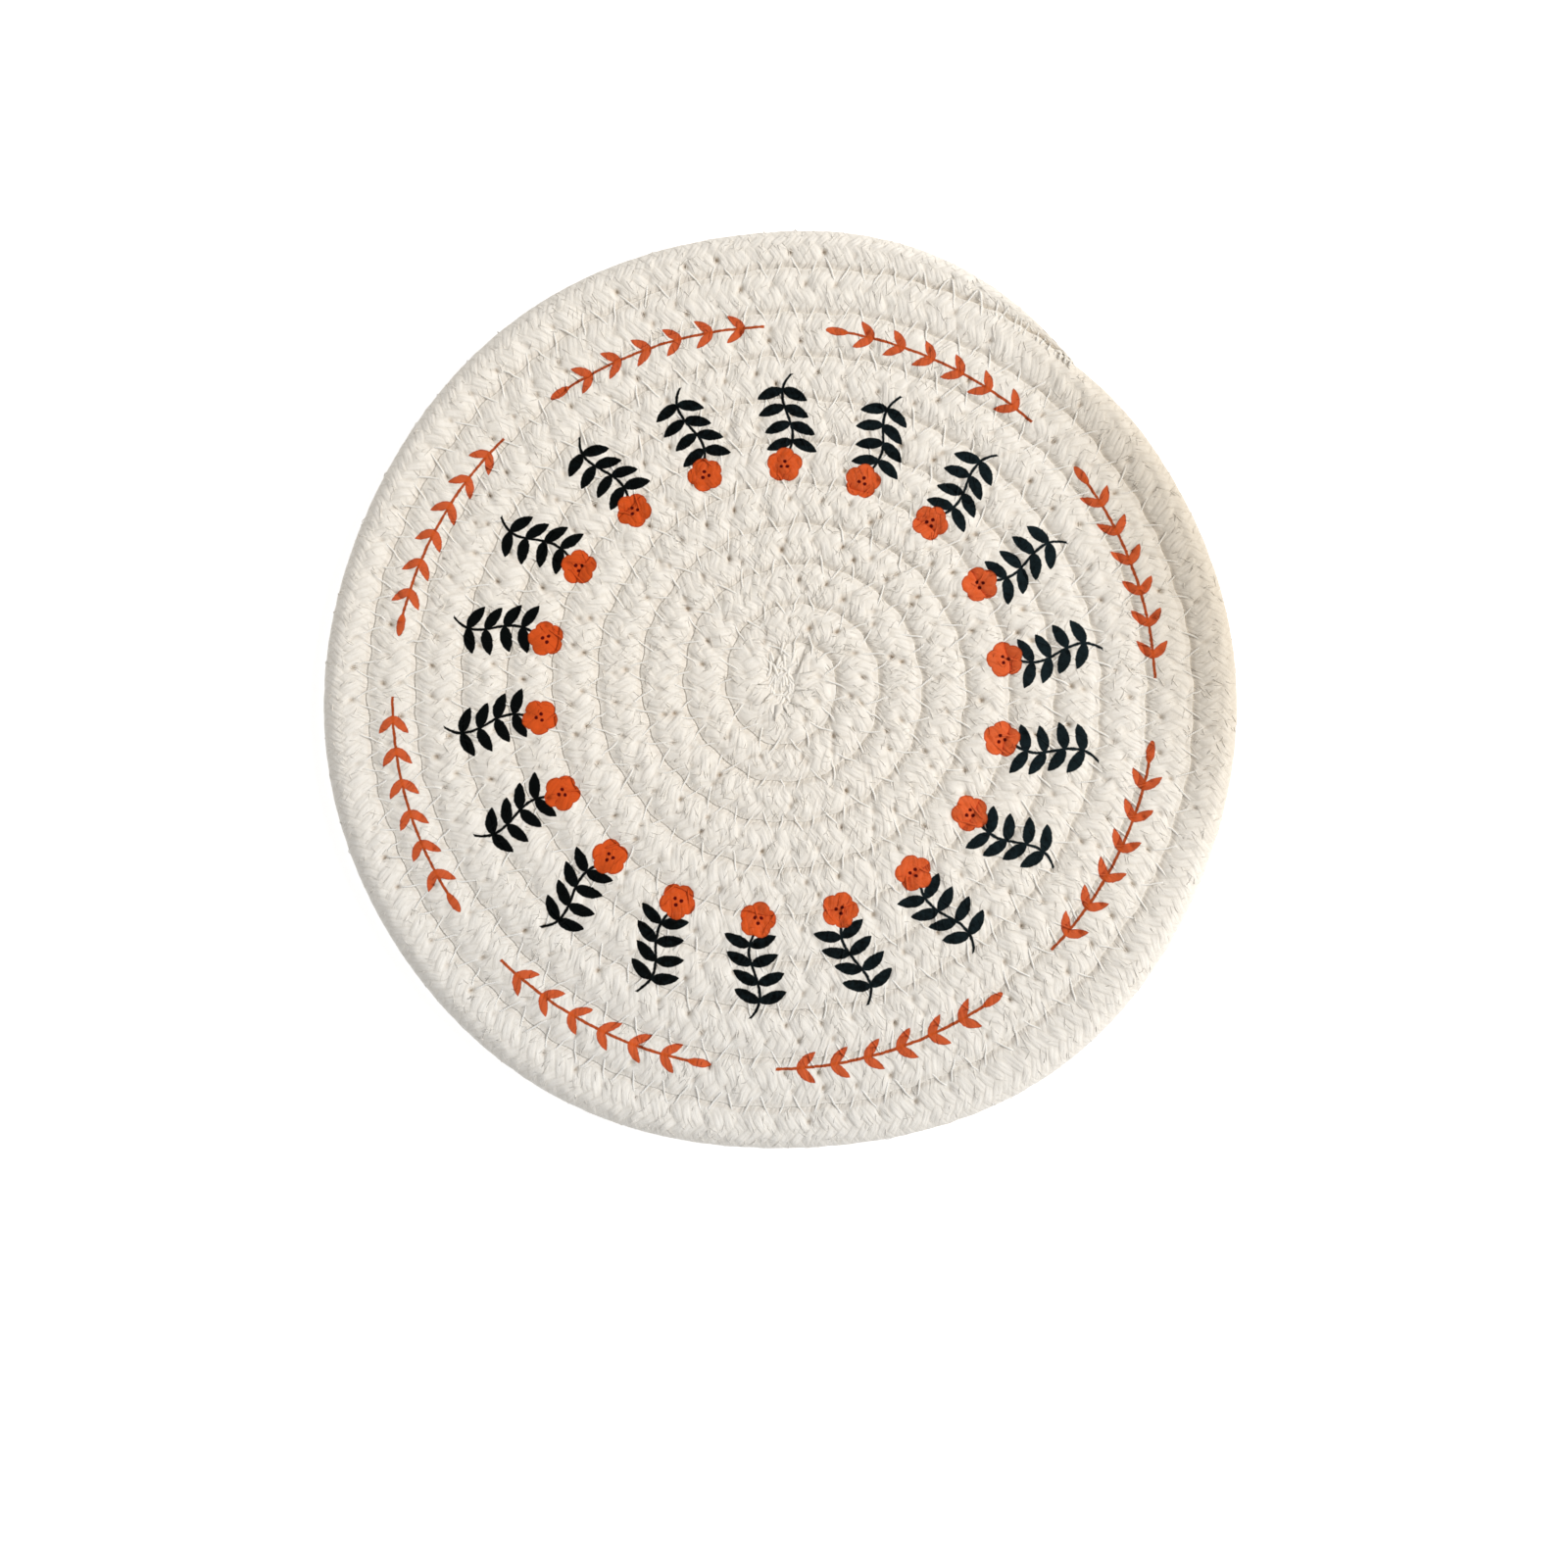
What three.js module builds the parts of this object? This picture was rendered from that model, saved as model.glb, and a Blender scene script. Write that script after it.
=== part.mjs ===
// A round pot mat: one length of braided cotton rope, coiled flat and sewn turn to turn.
// Millimetres, +Z up. The mat lies on z = 0 with the middle of its outline over the origin.
import * as THREE from "three";

// Driving dimensions of the coil
const ROPE_WIDTH = 8.73; // from seam to seam, one turn
const THICKNESS = 8;
const TURNS = 9.45; // of seam, from the rope's cut end in to its curled start
const TAIL_RADIUS = 86.25; // of the seam where the cut end is sewn down
const TAIL_DIRECTION = 50; // degrees, counterclockwise from +X
const TAIL_LENGTH = 40; // degrees over which the cut end narrows to nothing

// How the hand-fed coil departs from an even spiral
const CENTRE_DRIFT = 0.5; // mm towards +Y for each turn inwards
const SQUEEZE = 1.4; // mm by which the middle turns are drawn in
const OVAL = { height: 0.52, direction: 16 };
const RIM_WAVES = [
  { lobes: 3, height: 0.37, direction: -41.5 },
  { lobes: 4, height: 0.46, direction: 43.6 },
  { lobes: 6, height: 0.39, direction: 3.1 },
];
const RIM_FADE = 0.06; // of a turn, over which the waves die out at the cut end

// Half of the rope's section, from its inner seam (-1) to its outer seam (1), flat where it lies
const SEAM_HALF_HEIGHT = 2.2;
const SECTION = [
  { across: -1, height: SEAM_HALF_HEIGHT },
  { across: -0.72, height: 3.35 },
  { across: -0.3, height: THICKNESS / 2 },
  { across: 0.3, height: THICKNESS / 2 },
  { across: 0.72, height: 3.35 },
  { across: 1, height: SEAM_HALF_HEIGHT },
];
const RIM_ROUNDING = 0.04; // of the rope's width, drawn in above and below the rim's middle

// The curled start of the rope, a low bump in the middle of the mat
const START = { x: 4.4, y: 2.5, shoulder: 0.6, shoulderHeight: 3.75 };

const STEPS = 48; // to a turn

const radians = THREE.MathUtils.degToRad;
const smooth = (value) => THREE.MathUtils.smoothstep(value, 0, 1);

// A point on the seam, by turns inwards from the cut end. Turns -1 to 0 are the mat's rim.
function evenSeam(turn) {
  const direction = radians(TAIL_DIRECTION) + 2 * Math.PI * turn;
  const depth = turn / TURNS;
  const lobes = (wave) =>
    wave.height * Math.cos(wave.lobes * (direction - radians(wave.direction)));
  let radius = TAIL_RADIUS - ROPE_WIDTH * turn;
  radius += lobes({ lobes: 2, ...OVAL }) * (1 - depth);
  radius -= SQUEEZE * 4 * Math.max(depth, 0) * (1 - depth);
  const waves = RIM_WAVES.reduce((sum, wave) => sum + lobes(wave), 0);
  radius += waves * smooth(-turn / RIM_FADE);
  return new THREE.Vector2(
    radius * Math.cos(direction),
    radius * Math.sin(direction) + CENTRE_DRIFT * turn,
  );
}

// How much of its full width the rope has: 0 at the tip of the cut end, 1 past the taper.
const fullness = (turn) =>
  Math.sin((Math.PI / 2) * THREE.MathUtils.clamp((turn * 360) / TAIL_LENGTH, 0, 1));

// The seam with the cut end's taper: there the rim closes in on the turn beneath it.
function seam(turn) {
  if (turn >= 0) return evenSeam(turn);
  return evenSeam(turn + 1).lerp(evenSeam(turn), fullness(turn + 1));
}

// The coil as one closed body. Its two faces mirror each other about the mat's middle height.
function coilGeometry() {
  const points = [];
  const faces = [];
  const addPoint = (at, height) =>
    points.push(at.x, at.y, THICKNESS / 2 + height) / 3 - 1;
  const lastStep = Math.round((TURNS + 1) * STEPS);
  const turnOf = (step) => step / STEPS - 1;

  // Seam points: the rim's steps come first, and step 0 is the same point as step STEPS, the tip.
  const seams = { 1: [], "-1": [] };
  for (const side of [1, -1]) {
    for (let step = 1; step <= lastStep; step++) {
      const turn = turnOf(step);
      const at = seam(turn);
      if (step < STEPS) {
        const inner = seam(turn + 1);
        at.lerp(inner, RIM_ROUNDING);
      }
      seams[side][step] = addPoint(at, side * SEAM_HALF_HEIGHT);
    }
    seams[side][0] = seams[side][STEPS];
  }

  // Section points between two seams, for each step of the rope and each side of the mat
  const between = { 1: [], "-1": [] };
  for (const side of [1, -1]) {
    for (let step = STEPS; step <= lastStep; step++) {
      const turn = turnOf(step);
      const inner = seam(turn);
      const outer = seam(turn - 1);
      const full = Math.sqrt(fullness(turn));
      between[side][step] = SECTION.map(({ across, height }, place) => {
        if (place === 0 || step === STEPS) return seams[side][step];
        if (place === SECTION.length - 1) return seams[side][step - STEPS];
        const at = inner.clone().lerp(outer, (across + 1) / 2);
        const raised = SEAM_HALF_HEIGHT + (height - SEAM_HALF_HEIGHT) * full;
        return addPoint(at, side * raised);
      });
    }
  }

  // A face of three corners, given as seen from above, and turned over on the underside
  function addFace(side, a, b, c) {
    if (a === b || b === c || c === a) return;
    if (side > 0) faces.push(a, b, c);
    else faces.push(a, c, b);
  }
  const addQuad = (side, a, b, c, d) => {
    addFace(side, a, b, c);
    addFace(side, a, c, d);
  };

  for (const side of [1, -1]) {
    for (let step = STEPS; step < lastStep; step++) {
      const here = between[side][step];
      const next = between[side][step + 1];
      for (let i = 0; i < SECTION.length - 1; i++)
        addQuad(side, here[i], here[i + 1], next[i + 1], next[i]);
    }
  }

  // The rim: a line of points at the mat's middle height, joined up to one face and down to the other
  const rim = [];
  for (let step = 1; step <= STEPS; step++)
    rim[step] = addPoint(seam(turnOf(step)), 0);
  rim[0] = rim[STEPS];
  for (let step = 0; step < STEPS; step++) {
    const [low, high] = [seams[-1], seams[1]];
    addQuad(1, rim[step], rim[step + 1], high[step + 1], high[step]);
    addQuad(1, low[step], low[step + 1], rim[step + 1], rim[step]);
  }

  // The curled start fills the middle: a ring of points part way in, then one at its top
  const top = new THREE.Vector2(START.x, START.y);
  for (const side of [1, -1]) {
    const edge = seams[side]
      .slice(lastStep - STEPS, lastStep + 1)
      .concat(between[side][lastStep].slice(1, -1));
    const ring = edge.map((index) => {
      const at = new THREE.Vector2(points[3 * index], points[3 * index + 1]);
      return addPoint(at.lerp(top, 1 - START.shoulder), side * START.shoulderHeight);
    });
    const middle = addPoint(top, (side * THICKNESS) / 2);
    edge.forEach((outer, i) => {
      const j = (i + 1) % edge.length;
      addQuad(side, ring[i], outer, edge[j], ring[j]);
      addFace(side, middle, ring[i], ring[j]);
    });
  }

  const geometry = new THREE.BufferGeometry();
  geometry.setAttribute("position", new THREE.Float32BufferAttribute(points, 3));
  geometry.setIndex(faces);
  geometry.computeBoundingBox();
  const { min, max } = geometry.boundingBox;
  geometry.translate(-(min.x + max.x) / 2, -(min.y + max.y) / 2, -min.z);
  geometry.computeVertexNormals();
  return geometry;
}

// Undyed cotton
const cotton = new THREE.MeshStandardMaterial({
  color: 0xe9e2d6,
  roughness: 0.95,
  metalness: 0,
  flatShading: true,
});

const ropeCoil = new THREE.Mesh(coilGeometry(), cotton);
ropeCoil.name = "rope_coil";

const mat = new THREE.Group();
mat.name = "pot_mat";
mat.add(ropeCoil);

export default mat;
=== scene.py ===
from functools import partialmethod

import bpy
import numpy as np
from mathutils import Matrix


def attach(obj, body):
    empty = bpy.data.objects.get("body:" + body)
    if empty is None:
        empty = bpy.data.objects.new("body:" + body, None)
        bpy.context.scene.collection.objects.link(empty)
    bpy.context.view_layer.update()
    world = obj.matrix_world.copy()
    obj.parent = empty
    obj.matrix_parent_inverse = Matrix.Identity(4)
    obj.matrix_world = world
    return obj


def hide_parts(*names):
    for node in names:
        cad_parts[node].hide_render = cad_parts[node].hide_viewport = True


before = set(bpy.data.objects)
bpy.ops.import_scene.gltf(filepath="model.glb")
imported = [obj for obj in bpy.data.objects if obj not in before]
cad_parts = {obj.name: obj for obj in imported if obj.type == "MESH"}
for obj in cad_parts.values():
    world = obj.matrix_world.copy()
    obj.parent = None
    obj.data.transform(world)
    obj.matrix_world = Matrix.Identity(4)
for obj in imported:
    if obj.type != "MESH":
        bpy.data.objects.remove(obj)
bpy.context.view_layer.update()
mm = 0.001

# The view: straight down on the mat from arm's length, with the mat a little above the middle
# of a square picture. It lies on a white table under a broad lamp at the upper right.
picture_width = 307.4 * mm
picture_middle = (0.67 * mm, -18.6 * mm)
lens = 85.0
film_width = 36.0
mat_thickness = 8 * mm
table_width = 6.0


def add_object(name, data):
    """A new object at the origin, in the scene."""
    thing = bpy.data.objects.new(name, data)
    bpy.context.collection.objects.link(thing)
    return thing


def set_inputs(node, values):
    """Sets a node's own inputs by their names."""
    for name, value in values.items():
        node.inputs[name].default_value = value


camera = add_object("camera", bpy.data.cameras.new("camera"))
camera.data.lens = lens
camera.data.sensor_width = film_width
camera.location = (*picture_middle, mat_thickness + picture_width * lens / film_width)
bpy.context.scene.camera = camera

lamp = add_object("lamp", bpy.data.lights.new("lamp", "AREA"))
lamp.data.shape = "DISK"
lamp.data.size = 2.0
lamp.data.energy = 67.5
lamp.data.color = (1.0, 0.985, 0.96)
lamp.location = (2.05, 0.43, 1.9)
lamp.rotation_euler = (-lamp.location).to_track_quat("-Z", "Y").to_euler()

room = bpy.data.worlds.new("room")
room.use_nodes = True
daylight = {"Color": (1.0, 0.99, 0.98, 1), "Strength": 0.5}
set_inputs(room.node_tree.nodes["Background"], daylight)
bpy.context.scene.world = room
bpy.context.scene.view_settings.view_transform = "Standard"


def table_top(width):
    """A square of the given width on the ground, its middle under the mat."""
    reach = width / 2
    corners = [(-reach, -reach, 0), (reach, -reach, 0), (reach, reach, 0), (-reach, reach, 0)]
    mesh = bpy.data.meshes.new("table_top")
    mesh.from_pydata(corners, [], [(0, 1, 2, 3)])
    return add_object("table_top", mesh)


white_table = bpy.data.materials.new("white_table")
white_table.use_nodes = True
table_finish = {
    "Base Color": (0.7, 0.7, 0.7, 1),
    "Roughness": 0.9,
    "Specular IOR Level": 0.1,
    "Emission Color": (1, 1, 1, 1),
    "Emission Strength": 0.62,
}
set_inputs(white_table.node_tree.nodes["Principled BSDF"], table_finish)
floor = table_top(table_width)
floor.data.materials.append(white_table)

# The rope: one length of soft braided cotton, coiled flat from a curled start in the middle
# out to a cut end at the rim, each turn sewn to the last with a zigzag. Flowers and leaves
# are printed on its top in two inks. Four lengths of it follow one another along the coil.
rope_width = 8.73 * mm
turns = 9.45
tail_radius = 86.25 * mm
tail_direction = np.radians(50)
tail_length = 40 / 360
centre_drift = 0.5 * mm
squeeze = 1.4 * mm
oval = (2, 0.52 * mm, np.radians(16))
rim_waves = (
    (3, 0.37 * mm, np.radians(-41.5)),
    (4, 0.46 * mm, np.radians(43.6)),
    (6, 0.39 * mm, np.radians(3.1)),
)
rim_fade = 0.06
start_bulges = ((8.57, 0.13, 2.5 * mm), (7.62, 0.16, 0.9 * mm))


def smooth(value):
    """Rises from 0 to 1 as value does, level at both ends."""
    value = np.clip(value, 0, 1)
    return value * value * (3 - 2 * value)


def bell(value):
    """Falls smoothly from 1 at zero towards 0 on both sides: e to the minus value squared."""
    return np.exp(-(value**2))


def unit(vectors):
    """The same vectors, each of length 1."""
    return vectors / np.maximum(np.linalg.norm(vectors, axis=-1, keepdims=True), 1e-12)


def level_unit(angle):
    """Level vectors of length 1, at angles counterclockwise from +X."""
    return np.stack([np.cos(angle), np.sin(angle)], axis=-1)


def raised(flat, height):
    """Points at level places and their heights."""
    return np.concatenate([flat, height[..., None]], axis=-1)


def running_total(steps):
    """The sum of the steps up to each place between them, from 0."""
    return np.concatenate([[0], np.cumsum(steps)])


def lobes(direction, count, height, first):
    """A wave round the mat: height times the cosine of count times the turn from first."""
    return height * np.cos(count * (direction - first))


def even_seam(turn):
    """The seam between two turns of rope, counted in turns inwards from the cut end.
    Its radius falls evenly, less the squeeze of the middle turns, plus the oval, the rim's
    waves and the two places where the curled start pushes it out."""
    direction = tail_direction + 2 * np.pi * turn
    depth = turn / turns
    radius = tail_radius - rope_width * turn + lobes(direction, *oval) * (1 - depth)
    radius = radius - squeeze * 4 * np.maximum(depth, 0) * (1 - depth)
    waves = sum(lobes(direction, *wave) for wave in rim_waves)
    radius = radius + waves * smooth(-turn / rim_fade)
    for place, spread, height in start_bulges:
        radius = radius + height * bell((turn - place) / spread)
    drift = np.stack([np.zeros_like(turn), centre_drift * turn], axis=-1)
    return radius[..., None] * level_unit(direction) + drift


def fullness(turn):
    """Share of its full width that the rope has: a quarter sine from the cut end's tip."""
    return np.sin(np.pi / 2 * np.clip(turn / tail_length, 0, 1))


def loose_seam(turn):
    """The even seam, with the rim closed in on the turn inside it at the cut end."""
    inside = even_seam(turn + 1)
    share = np.where(turn < 0, fullness(turn + 1), 1)
    return inside + share[..., None] * (even_seam(turn) - inside)


# The coil is shifted so that its rim, taken at the solid's own steps, is round the origin
solid_steps = 48
rim = loose_seam(np.arange(-solid_steps, 1) / solid_steps)
to_origin = -(rim.min(axis=0) + rim.max(axis=0)) / 2

# Stitches are counted along the seam from the cut end. They are short there, longer on the
# right and vary by a slow wave. The cut end has a sewing of its own up to this turn.
tail_sewn = 0.036
stitch_length = 6.5 * mm
stitch_at_tail, tail_spread = 4.2 * mm, 0.05
stitch_at_right, right_turn, right_spread = 7.9 * mm, 0.87, 0.12
stitch_wave, stitch_wave_rates = 0.5 * mm, (3.1, 11.3)
seam_samples = 40001
seam_turns = np.linspace(0, turns, seam_samples)
seam_steps = np.linalg.norm(np.diff(loose_seam(seam_turns), axis=0), axis=1)
local_stitch = (
    stitch_length
    - (stitch_length - stitch_at_tail) * bell(seam_turns / tail_spread)
    + (stitch_at_right - stitch_length) * bell((seam_turns - right_turn) / right_spread)
    + stitch_wave * np.prod([np.sin(rate * seam_turns) for rate in stitch_wave_rates], axis=0)
)
stitch_counts = running_total(seam_steps / local_stitch[1:])


def stitch_count(turn):
    """Stitches sewn from the cut end to this place on the seam."""
    return np.interp(turn, seam_turns, stitch_counts)


def stitch_span(turn):
    """Length of one stitch there."""
    return np.interp(turn, seam_turns, local_stitch)


seam_waver = 0.18 * mm
seam_wander, wander_rates = 0.12 * mm, (1.9, 3.3)
waver_rise = 0.02
waver_end, waver_fall = turns + 0.2, 0.1
turn_step = 0.001


def seam(turn):
    """Where the two turns meet: the zigzag draws the seam in and out, and it wanders."""
    turn = np.asarray(turn, dtype=float)
    outwards = level_unit(tail_direction + 2 * np.pi * turn)
    sewn = smooth(turn / waver_rise) * smooth((waver_end - turn) / waver_fall)
    count = stitch_count(turn)
    wander = np.sin(wander_rates[0] * count) + np.sin(wander_rates[1] * count + 1)
    waver = seam_waver * np.cos(2 * np.pi * count) + seam_wander * wander
    return loose_seam(turn) + to_origin + (sewn * waver)[..., None] * outwards


def seam_frame(turn, step=turn_step):
    """The seam, and the level vector of length 1 that points square to it, outwards."""
    at = seam(turn)
    ahead = seam(turn + step) - at
    return at, unit(np.stack([ahead[..., 1], -ahead[..., 0]], axis=-1))


# The rope's section is a round, pressed flat where it lies and where turns meet. There one
# rope's edge stands a little over the next one's.
section_squareness = 2.2
pressed_together = 1.36
edge_rise_inside, edge_rise_outside = -0.22 * mm, 0.16 * mm
edge_rounding = 0.5 * mm
curve_points = 8001
points_round = 48
sides_within = 2.0 * mm
top_density, side_density, under_density = 1.0, 0.4, 0.58
curl_from, curl_over = 9.25, 0.2
start_turn = 10.07
start_width = 8.9 * mm
start_rounding, start_bluntness = 0.07, 0.9998
thinnest = 0.02


def rope_section():
    """Points round the rope as shares of its half width and half thickness: the closed
    curve |x|^n + |z|^n = 1, a little wide and cut off at the sides, with closer points on
    its two faces than on its sides, and their distance round the rope. The last values are
    x of the same curve where nothing presses on it, and which points fall on pressed edges."""
    angle = np.linspace(0, 2 * np.pi, curve_points)
    power = 2 / section_squareness
    unpressed = np.sign(np.cos(angle)) * np.abs(np.cos(angle)) ** power
    x = np.clip(pressed_together * unpressed, -1, 1)
    z = np.sign(np.sin(angle)) * np.abs(np.sin(angle)) ** power
    step = np.hypot(np.diff(x) * rope_width, np.diff(z) * mat_thickness) / 2
    height = (z[1:] + z[:-1]) / 2 * mat_thickness / 2
    places = [height > sides_within, height > -sides_within]
    density = np.select(places, [top_density, side_density], under_density)
    weighted, girth = running_total(step * density), running_total(step)
    even = np.linspace(0, weighted[-1], points_round + 1)
    edges = weighted[np.flatnonzero(np.diff(np.abs(x) < 1))]
    even[np.abs(even[:, None] - edges).argmin(axis=0)] = edges
    section = [np.interp(even, weighted, values) for values in (x, z, girth, unpressed)]
    return *section, np.isin(even[:-1], edges)


section_x, section_z, section_girth, rim_x, pressed_edges = rope_section()
rope_girth = section_girth[-1]
girth_place = section_girth - rope_girth / 4


def face_height(across):
    """Height of the rope's face above its middle, by the share of its half width."""
    x = np.clip(np.abs(across), 0, 1) / pressed_together
    return mat_thickness / 2 * (1 - x**section_squareness) ** (1 / section_squareness)


def rope_frame(turn):
    """Middle of the rope, the vector from it to its outer side, and its share of height.
    It lies between its own seam and the next one out. Past the last seam the curled start
    keeps to the seam outside it and ends in a round tip."""
    outer, outwards = seam_frame(turn - 1, 2 * turn_step)
    inner = seam(np.minimum(turn, turns))
    past = (turn - start_turn + start_rounding) / start_rounding
    tip = np.sqrt(1 - np.clip(past, 0, start_bluntness) ** 2)
    curled = outer - outwards * (start_width * tip)[..., None]
    inner = inner + (curled - inner) * smooth((turn - curl_from) / curl_over)[..., None]
    height = np.maximum(np.sqrt(fullness(turn)) * tip, thinnest)
    return (outer + inner) / 2, (outer - inner) / 2, height


least_along = 0.05


def ripple(along, around, wave_lengths, seed, waves=14):
    """Unevenness that averages 0: the sum of sines of random direction and phase, each
    with a whole number of waves round the rope so that it closes up."""
    random = np.random.default_rng(seed)
    total = 0
    for _ in range(waves):
        length = random.uniform(*wave_lengths)
        slant = random.uniform(-1, 1)
        rounds = np.round(slant * rope_girth / length)
        phase = random.uniform(0, 2 * np.pi)
        along_part = np.sqrt(max(1 - slant**2, least_along)) * along / length
        total = total + np.sin(2 * np.pi * (along_part + rounds * around / rope_girth) + phase)
    return total / np.sqrt(waves / 2)


# The braid: sixteen strands of soft yarn, eight each way round, each over two and under two
strands = 8
crossings = 4
braid_lay = 16.8 * mm
yarns_in_strand = 2
strand_height = 0.1 * mm
strand_unevenness, uneven_waves = 0.3, (5 * mm, 14 * mm)
float_squareness = 0.7
lay_wander, lay_wander_turns = (0.12 * mm, 0.24 * mm), (0.9, 1.4)
lay_waves_along, lay_waves_round = (4 * mm, 11 * mm), (4 * mm, 12 * mm)
lump_height, lump_waves, lump_sines = 0.07 * mm, (2.2 * mm, 7 * mm), 24
lump_sink = 1.2
smoother_rim = 0.6
seam_hold = 0.8 * mm


def braid_relief(along, around):
    """Height of the braid's surface. The strands that run one way and the other way are
    counted, and the one that lies on top bulges across its width and along its float."""
    one = strands * (along / braid_lay + around / rope_girth)
    other = strands * (along / braid_lay - around / rope_girth)
    one_number, other_number = np.floor(one), np.floor(other)
    over = np.mod(other - one_number + 1, crossings)
    under = np.mod(one - other_number - 2, crossings)
    on_top = over < crossings / 2
    across = np.where(on_top, one - one_number, other - other_number)
    float_place = np.where(on_top, over, under) * 2 / crossings
    bulge = np.sqrt(np.clip(1 - (2 * across - 1) ** 2, 0, 1))
    float_rise = np.sin(np.pi * np.clip(float_place, 0, 1)) ** float_squareness
    uneven = 1 + strand_unevenness * ripple(along, around, uneven_waves, 3)
    return uneven * strand_height * bulge * float_rise


# The zigzag's holes, and how far it draws the rope in round them. Sizes are along the seam
# and square to it. A slack stitch leaves a share of a tight one's hole. Each side of a seam
# has its own run of luck.
needle_reach = 2.8 * mm
hole_depth, hole_size = 1.2 * mm, (0.36 * mm, 0.5 * mm)
hole_stray = 0.8 * mm
slack_hole = 0.15
dimple_depth, dimple_size = 0.3 * mm, (1.5 * mm, 1.8 * mm)
slack_dimple, tight_dimple = 0.6, 1.1
arm_depth, arm_half_width = 0.07 * mm, 0.34 * mm
arm_rise, arm_fall = 0.4 * mm, 0.5 * mm
crease_depth, crease_half_width, crease_length = 0.2 * mm, 0.6 * mm, 2.4 * mm
crease_lean = 0.8
sewing_stop, sewing_fade = turns - 0.02, 0.03
tail_sewing_fade = 0.01
inner_luck, outer_luck = 0, 5000
luck_rate, luck_size = 12.9898, 43758.5453

# The painted tan shade by a seam, on the rope's inner and outer side: how strong, where and how
# wide
seam_shades = (0.42, 0.31)
seam_shade_from, seam_shade_spread = 0.6 * mm, 0.62 * mm

# Where the rope's face begins, by its share of height, how soon the rim's side ends, and the
# half widths over which a narrow end takes up the braid's relief
face_from, face_over = 0.5, 0.3
rim_side_fade = 0.02
relief_from, relief_over = 1.2 * mm, 2 * mm


def luck(number):
    """A fixed random share for each number: the fraction of a large sine."""
    return np.mod(np.sin(number * luck_rate) * luck_size, 1)


def sewn_relief(from_seam, count, span, seed):
    """How far the sewing pulls the rope in, for holes at whole counts: a narrow hole, deep
    where the thread is tight, a wide dimple round it, a groove along each of the two arms
    that meet in it, and a slanted crease from it across the rope."""
    number = np.round(count)
    tight = luck(number + seed)
    along = (count - number) * span + (luck(number + seed + 0.5) - 0.5) * hole_stray
    from_hole = from_seam - needle_reach
    hole = bell(along / hole_size[0]) * bell(from_hole / hole_size[1])
    hole = hole * (slack_hole + (1 - slack_hole) * tight**2)
    dimple = bell(along / dimple_size[0]) * bell(from_hole / dimple_size[1])
    dimple = dimple * (slack_dimple + (tight_dimple - slack_dimple) * tight)
    arm = np.abs(along) - span / 4 * (1 - from_seam / needle_reach)
    groove = bell(arm / arm_half_width) * smooth(from_seam / arm_rise)
    groove = groove * smooth((needle_reach - from_seam) / arm_fall)
    beyond = np.maximum(from_hole, 0)
    crease = bell((along - crease_lean * beyond) / crease_half_width)
    crease = crease * smooth(beyond / crease_half_width) * bell(beyond / crease_length)
    sunk = hole_depth * hole + dimple_depth * dimple
    return sunk + arm_depth * groove + crease_depth * crease


def surface_steps(points):
    """Steps along and round a grid of points that closes up sideways, and its normals."""
    ahead = np.gradient(points, axis=0)
    about = (np.roll(points, -1, axis=1) - np.roll(points, 1, axis=1)) / 2
    return ahead, about, unit(np.cross(ahead, about))


def both_seams_relief(turn, x, half_width):
    """How far the sewing of the rope's own seam and of the next one out pull it in. x is
    the place across the rope, from -1 at its own seam to 1."""
    own, next_out = np.minimum(turn, turns)[:, None], np.maximum(turn - 1, 0)[:, None]
    own_sewn = smooth((sewing_stop - turn) / sewing_fade)
    own_sewn = own_sewn * smooth((turn - tail_sewn) / tail_sewing_fade)
    out_sewn = smooth((turn - 1 - tail_sewn) / tail_sewing_fade)
    count, span = stitch_count(own), stitch_span(own)
    own_relief = sewn_relief((1 + x) * half_width, count, span, inner_luck)
    count, span = stitch_count(next_out) + 0.5, stitch_span(next_out)
    out_relief = sewn_relief((1 - x) * half_width, count, span, outer_luck)
    return own_sewn[:, None] * own_relief + out_sewn[:, None] * out_relief


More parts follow.
